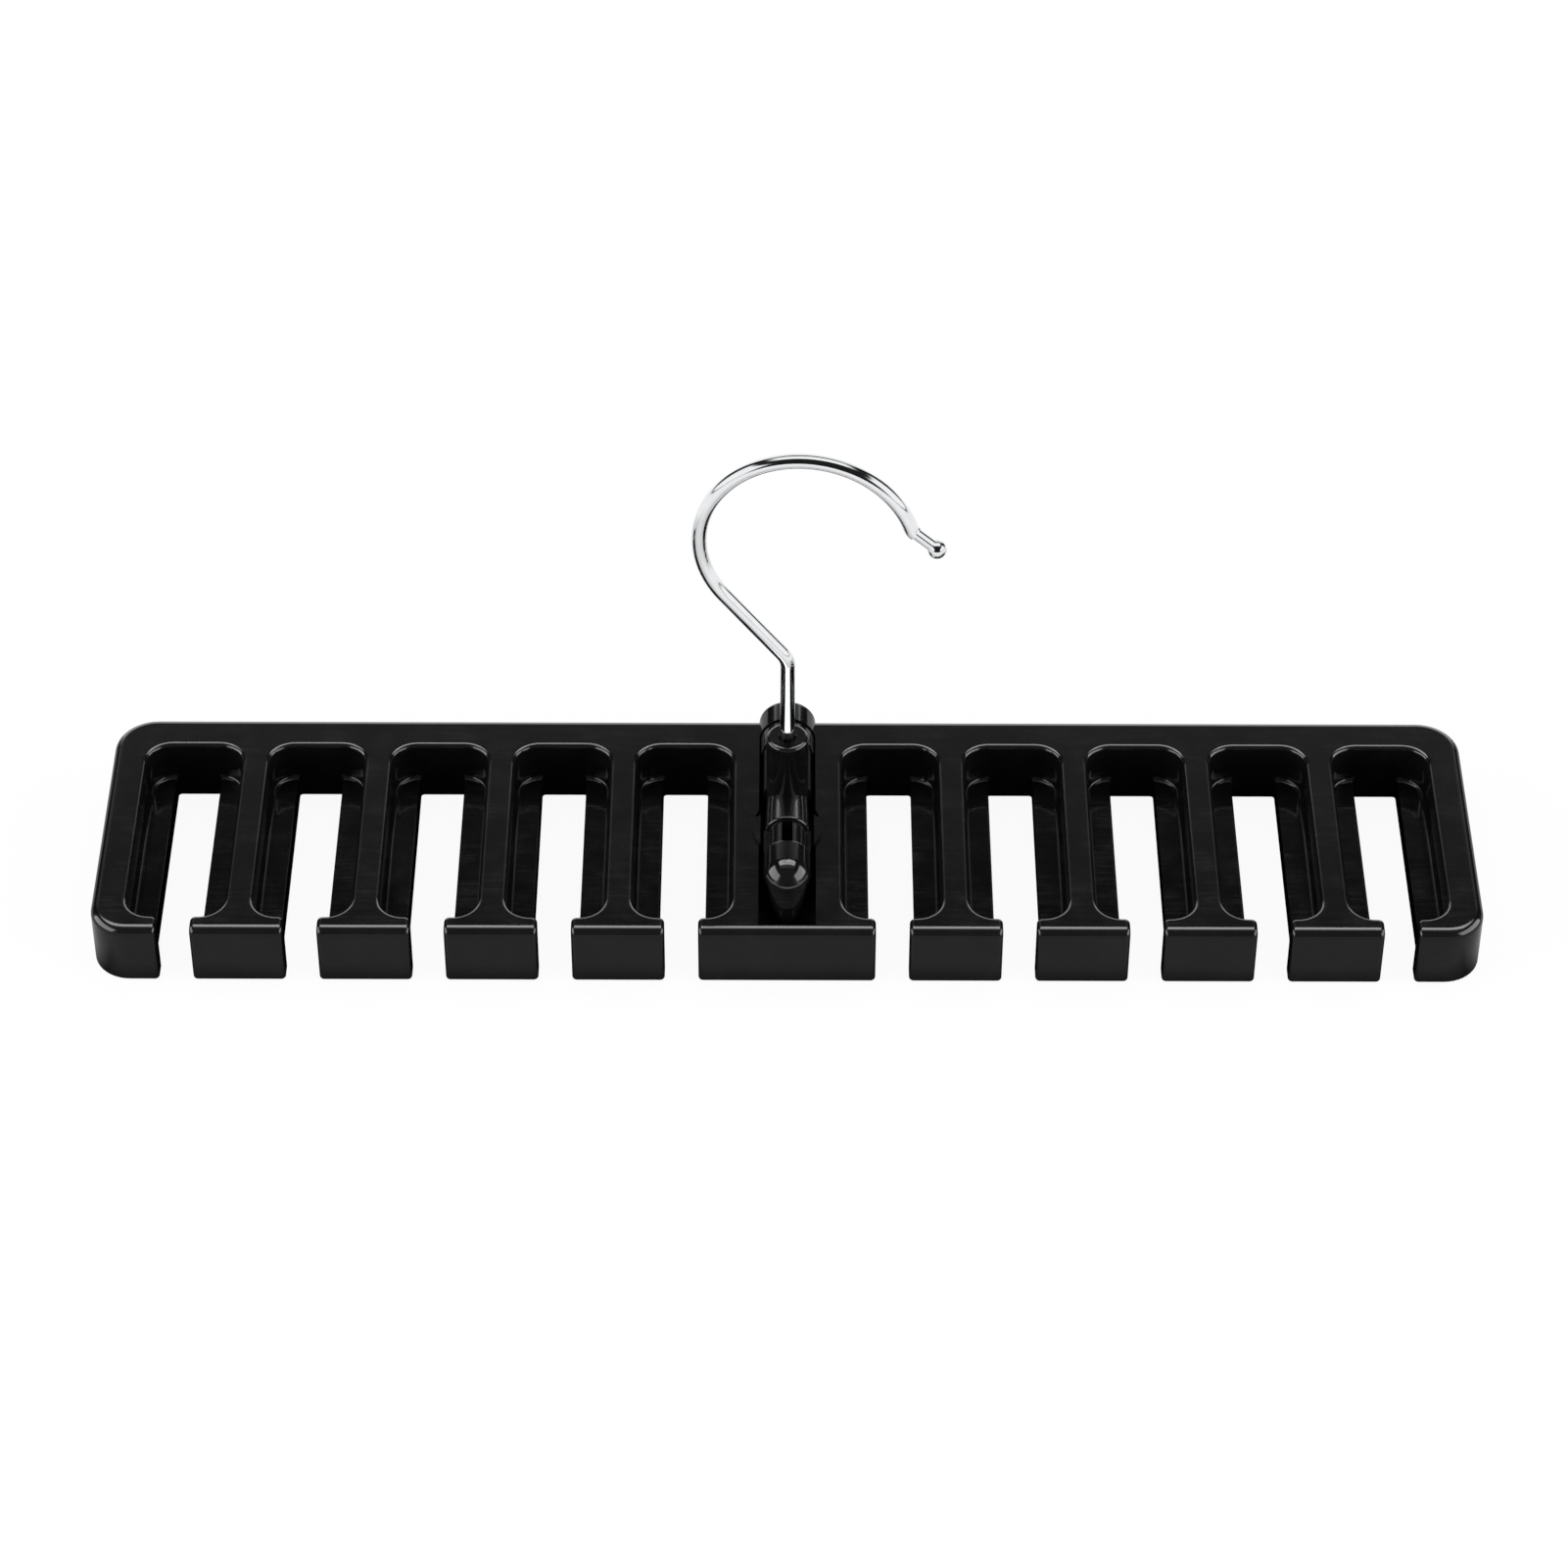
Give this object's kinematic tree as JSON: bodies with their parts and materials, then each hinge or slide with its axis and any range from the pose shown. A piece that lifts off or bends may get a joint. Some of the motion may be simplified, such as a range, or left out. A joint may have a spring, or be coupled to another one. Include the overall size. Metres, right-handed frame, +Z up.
{
  "type": "tie hanger",
  "caption": "Flat black plastic comb with open slots for ties, hung from a chrome wire hook that swivels in a small tilting block.",
  "frame": {"origin": "middle of the comb on its underside", "axes": "+X along the comb, +Y from the open front to the back rail, +Z up towards the hook"},
  "size_m": [0.33, 0.076, 0.1213],
  "materials": {
    "rack_plastic": "black plastic, moulded against a polished tool",
    "block_plastic": "black plastic, moulded glossy",
    "hook_chrome": "bright chrome plate on drawn steel wire",
    "nut_steel": "stamped spring steel, bare"
  },
  "bodies": {
    "rack": {"comb_rack": "rack_plastic"},
    "block": {"hook_block": "block_plastic"},
    "hook": {"wire_hook": "hook_chrome", "push_nut": "nut_steel"}
  },
  "joints": [
    {"name": "block_tilt", "type": "hinge", "parent": "rack", "child": "block", "pos_m": [0, 0.0098, 0.0159], "axis": [0, 1, 0], "range_deg": [-35, 35]},
    {"name": "hook_swivel", "type": "hinge", "parent": "block", "child": "hook", "pos_m": [0, 0.0098, 0.0159], "axis": [0, 0, 1], "continuous": true}
  ]
}
